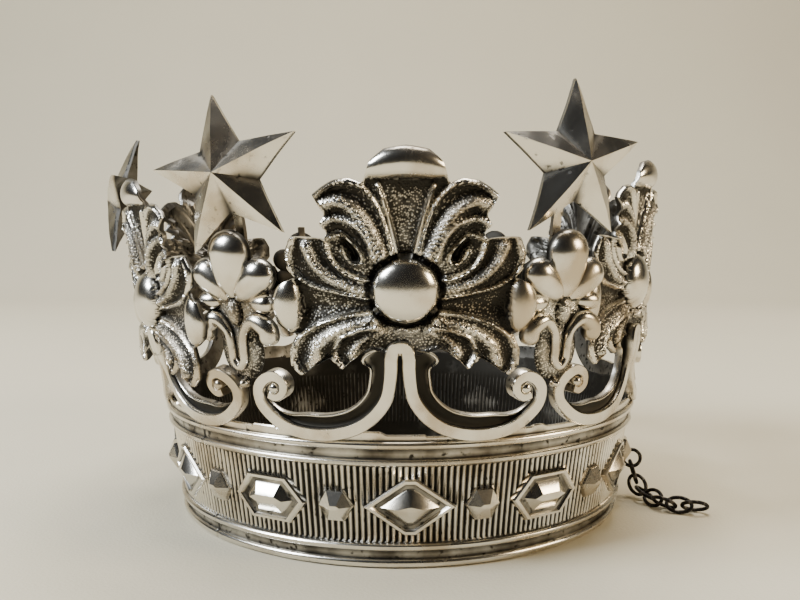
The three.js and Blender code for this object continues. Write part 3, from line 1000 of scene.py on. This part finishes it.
@dataclass
class Chain:
    """The blackened keeper chain: a staple on the band and seven oval links."""

    staple_at: float = 83.0
    staple_r: float = 1.9
    length: float = 5.9
    width: float = 4.2
    wire: float = 0.8
    count: int = 7

    def loop(self, centre: Array, along: Array, across: Array, half: tuple[float, float]) -> Shell:
        """A closed wire loop: a round section carried round an oval in the plane of two directions.

        Args:
            centre: The loop's middle.
            along: Its long direction.
            across: Its short direction.
            half: Half the centre line's length and width.

        Returns:
            The closed loop.
        """
        a = np.linspace(0, 2 * np.pi, 44, endpoint=False)[:, None, None]
        b = np.linspace(0, 2 * np.pi, 14, endpoint=False)[None, :, None]
        normal = np.cross(along, across)
        out = along * np.cos(a) + across * np.sin(a)
        middle = centre + along * half[0] * np.cos(a) + across * half[1] * np.sin(a)
        grid = middle + self.wire / 2 * (out * np.cos(b) + normal * np.sin(b))
        return looped(grid, 0.3)

    def build(self, shop: Workshop) -> None:
        """Make the staple and the links, each in the middle of its own solid."""
        at = math.radians(self.staple_at)
        out = np.array([math.sin(at), -math.cos(at), 0.0])
        tangent = np.array([math.cos(at), math.sin(at), 0.0])
        names = ["chain_staple"] + [f"chain_link_{k + 1}" for k in range(self.count)]
        centres = np.array([np.mean(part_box(name), axis=0) / MM for name in names])
        round_half = (self.staple_r, self.staple_r)
        staple = self.loop(centres[0], out, np.array([0.0, 0.0, 1.0]), round_half)
        shop.piece(names[0], [staple], Slot.CHAIN)
        path = centres[1:]
        heading = np.gradient(path, axis=0)
        heading /= np.linalg.norm(heading, axis=1, keepdims=True)
        half = ((self.length - self.wire) / 2, (self.width - self.wire) / 2)
        for k, (centre, along) in enumerate(zip(path, heading)):
            lying = min(max((k - 1) / 3, 0.0), 1.0)
            level = np.array([-along[1], along[0], 0.0])
            level /= np.linalg.norm(level) + 1e-9
            side = tangent * (1 - lying) + level * lying
            side -= along * side.dot(along)
            side /= np.linalg.norm(side)
            roll = math.radians((k % 2) * 90 - 45 * lying)
            across = side * math.cos(roll) + np.cross(along, side) * math.sin(roll)
            shop.piece(names[k + 1], [self.loop(centre, along, across, half)], Slot.CHAIN)


@dataclass(frozen=True)
class Lamp:
    """A soft square light: where it hangs in metres, its side, its power and its tint."""

    name: str
    spot: tuple[float, float, float]
    size: float
    watts: float
    tint: tuple[float, float, float]


@dataclass
class Studio:
    """The camera at the photograph's angle, a pale sweep of cloth and soft light."""

    eye: tuple[float, float, float] = (0.0, -0.19218, 0.05868)
    down: float = 4.4
    lens: float = 37.6
    aim: tuple[float, float, float] = (0.0, 0.0, 0.05)
    lamps: tuple[Lamp, ...] = (
        Lamp("window", (-0.85, -0.35, 0.75), 0.5, 23.0, (0.88, 0.94, 1.0)),
        Lamp("fill", (0.9, -0.3, 0.4), 0.35, 7.0, (1.0, 0.82, 0.55)),
        Lamp("top", (0.1, 0.25, 1.1), 0.6, 14.5, (1.0, 0.95, 0.87)),
    )
    room: tuple[float, float, float, float] = (0.5, 0.47, 0.43, 1.0)
    room_strength: float = 0.03

    def camera(self) -> None:
        """Make the camera and set it."""
        data = bpy.data.cameras.new("camera")
        data.lens = self.lens
        data.sensor_width = 36.0
        data.clip_start = 0.01
        made = bpy.data.objects.new("camera", data)
        made.location = self.eye
        made.rotation_euler = (math.radians(90 - self.down), 0, 0)
        bpy.context.scene.collection.objects.link(made)
        bpy.context.scene.camera = made

    def sweep(self, cloth: bpy.types.Material) -> None:
        """Lay the cloth: flat under the crown, then up behind it in a quarter round.

        The profile is a level run, an arc and an upright run, carried straight across.

        Args:
            cloth: Its material.
        """
        bend = np.linspace(0, np.pi / 2, 24)
        depth = np.concatenate([[-0.34, -0.2, 0.0, 0.3], 0.55 + 0.35 * np.sin(bend), [0.9]])
        rise = np.concatenate([[0, 0, 0, 0], 0.35 - 0.35 * np.cos(bend), [1.6]])
        across = np.linspace(-1.6, 1.6, 9)
        y, x = np.meshgrid(depth, across, indexing="ij")
        z = np.broadcast_to(rise[:, None], y.shape)
        index = np.arange(y.size).reshape(y.shape)
        faces = np.stack([index[:-1, :-1], index[:-1, 1:], index[1:, 1:], index[1:, :-1]], -1).reshape(-1, 4)
        mesh = bpy.data.meshes.new("cloth_sweep")
        mesh.from_pydata(np.stack([x, y, z], -1).reshape(-1, 3).tolist(), [], faces.tolist())
        mesh.shade_smooth()
        mesh.materials.append(cloth)
        made = bpy.data.objects.new("cloth_sweep", mesh)
        bpy.context.scene.collection.objects.link(made)

    def hang(self, lamp: Lamp) -> None:
        """Hang one light, facing the crown."""
        data = bpy.data.lights.new(lamp.name, "AREA")
        data.size = lamp.size
        data.energy = lamp.watts
        data.color = lamp.tint
        made = bpy.data.objects.new(lamp.name, data)
        away = np.array(lamp.spot) - np.array(self.aim)
        away = away / np.linalg.norm(away)
        made.location = lamp.spot
        made.rotation_euler = (math.acos(away[2]), 0, math.atan2(away[0], -away[1]))
        bpy.context.scene.collection.objects.link(made)

    def light(self) -> None:
        """Hang a cool window at the left, a warm fill at the right and a soft top light in a dim room."""
        for lamp in self.lamps:
            self.hang(lamp)
        world = bpy.data.worlds.new("room")
        world.use_nodes = True
        background = world.node_tree.nodes["Background"]
        background.inputs[0].default_value = self.room
        background.inputs[1].default_value = self.room_strength
        bpy.context.scene.world = world


UNITS = (
    Place("front", 0, 6.5), Place("front_right", 60, 3.0), Place("back_right", 120, 7.0),
    Place("back", 180, 6.5), Place("back_left", -120, 11.5), Place("front_left", -60, 12.5),
)
PALMETTES = (
    Place("right_front", 30, 7.5), Place("right", 90, 3.0), Place("back_right", 150, 4.0),
    Place("back_left", -150, 10.0), Place("left", -90, 13.5), Place("left_front", -30, 9.0),
)
STARS = {
    "right_front": (45.8, -1.0, 7.5, -6.0, 1.4, -0.8),
    "left": (42.0, 4.0, 19.5, 0.0, 0.0, 0.5),
    "left_front": (43.6, 12.5, 12.9, 13.3, -0.8, -0.8),
}
POSED = {"front": (0.9, 24.3, 0.0), "front_left": (0.0, 21.3, 0.12)}
SHIFTED = {"right_front": 1.1, "left_front": -1.1}
BARE_STEMS = {"right": 38.0, "back_left": 36.0}


def main() -> None:
    """Build the studio and the crown in order."""
    logging.basicConfig(level=logging.INFO)
    studio = Studio()
    studio.camera()
    studio.sweep(PaleCloth().material())
    studio.light()
    shop = Workshop({Slot.SILVER: AntiquedSilver().material(), Slot.CHAIN: BlackenedWire().material()})
    Band().build(shop)
    for place in UNITS:
        Rosette(place, *POSED.get(place.name, ())).build(shop)
    for place in PALMETTES:
        Palmette(place, SHIFTED.get(place.name, 0.0)).build(shop)
        if place.name in STARS:
            star = Star(place, *STARS[place.name])
            star.build(shop)
            hollow = ((star.y - star.inner - 1.0, star.seat - 0.6), (star.y - 1.0, star.seat + 1.0))
            Stem(place, (STEM_FOOT, *hollow)).build(shop)
        elif place.name in BARE_STEMS:
            bare = (STEM_FOOT, (BARE_STEMS[place.name], STEM_FOOT[1]))
            Stem(place, bare, BARE_STEM_TARNISH).build(shop)
    Chain().build(shop)


if __name__ == "__main__":
    main()
